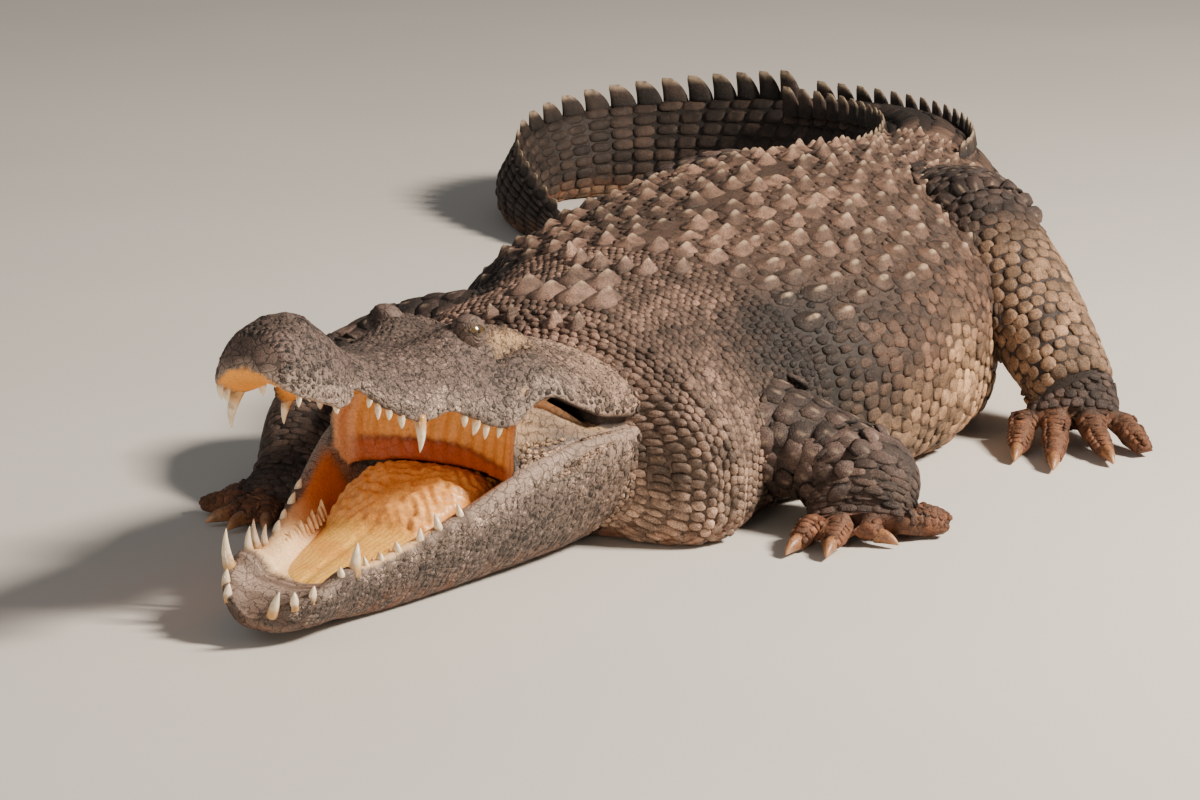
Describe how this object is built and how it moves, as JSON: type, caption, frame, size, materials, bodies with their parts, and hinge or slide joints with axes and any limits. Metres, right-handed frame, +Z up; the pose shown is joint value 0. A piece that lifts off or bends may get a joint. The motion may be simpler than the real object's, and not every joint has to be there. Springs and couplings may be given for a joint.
{
  "type": "crocodile model",
  "caption": "Life-size museum model of a heavy broad-snouted crocodile lying on its belly with its jaws agape and its tail curled round behind.",
  "frame": {"origin": "centre of the overall size, on the floor it lies on", "axes": "+Z up; the head points along -Y; the animal's left side is +X"},
  "size_m": [1.5866, 2.5702, 0.37],
  "materials": {
    "hide": "dry scaly hide, taupe grey above, cream between dark patches on the flanks, dusted with red soil near the ground",
    "mouth": "moist lining, yellow to orange, satin",
    "teeth": "worn ivory, satin",
    "horn": "dark horn with red dust",
    "eye": "wet, olive brown, with a slit pupil"
  },
  "bodies": {
    "root": {"head_upper": "hide", "jaw_lower": "hide", "eye_right": "eye", "eye_left": "eye", "ear_right": "hide", "ear_left": "hide", "cheek_skin": "mouth", "tongue": "mouth", "neck": "hide", "chest": "hide", "belly": "hide", "hips": "hide", "tail_1": "hide", "tail_2": "hide", "tail_3": "hide", "tail_4": "hide", "tail_5": "hide", "tail_6": "hide", "claw_front_left_1": "horn", "claw_front_left_2": "horn", "claw_front_left_3": "horn", "front_left_upper": "hide", "front_left_lower": "hide", "front_left_foot": "hide", "claw_front_right_1": "horn", "claw_front_right_2": "horn", "claw_front_right_3": "horn", "front_right_upper": "hide", "front_right_lower": "hide", "front_right_foot": "hide", "claw_hind_left_1": "horn", "claw_hind_left_2": "horn", "claw_hind_left_3": "horn", "hind_left_upper": "hide", "hind_left_lower": "hide", "hind_left_foot": "hide", "claw_hind_right_1": "horn", "claw_hind_right_2": "horn", "claw_hind_right_3": "horn", "hind_right_upper": "hide", "hind_right_lower": "hide", "hind_right_foot": "hide"}
  },
  "joints": []
}
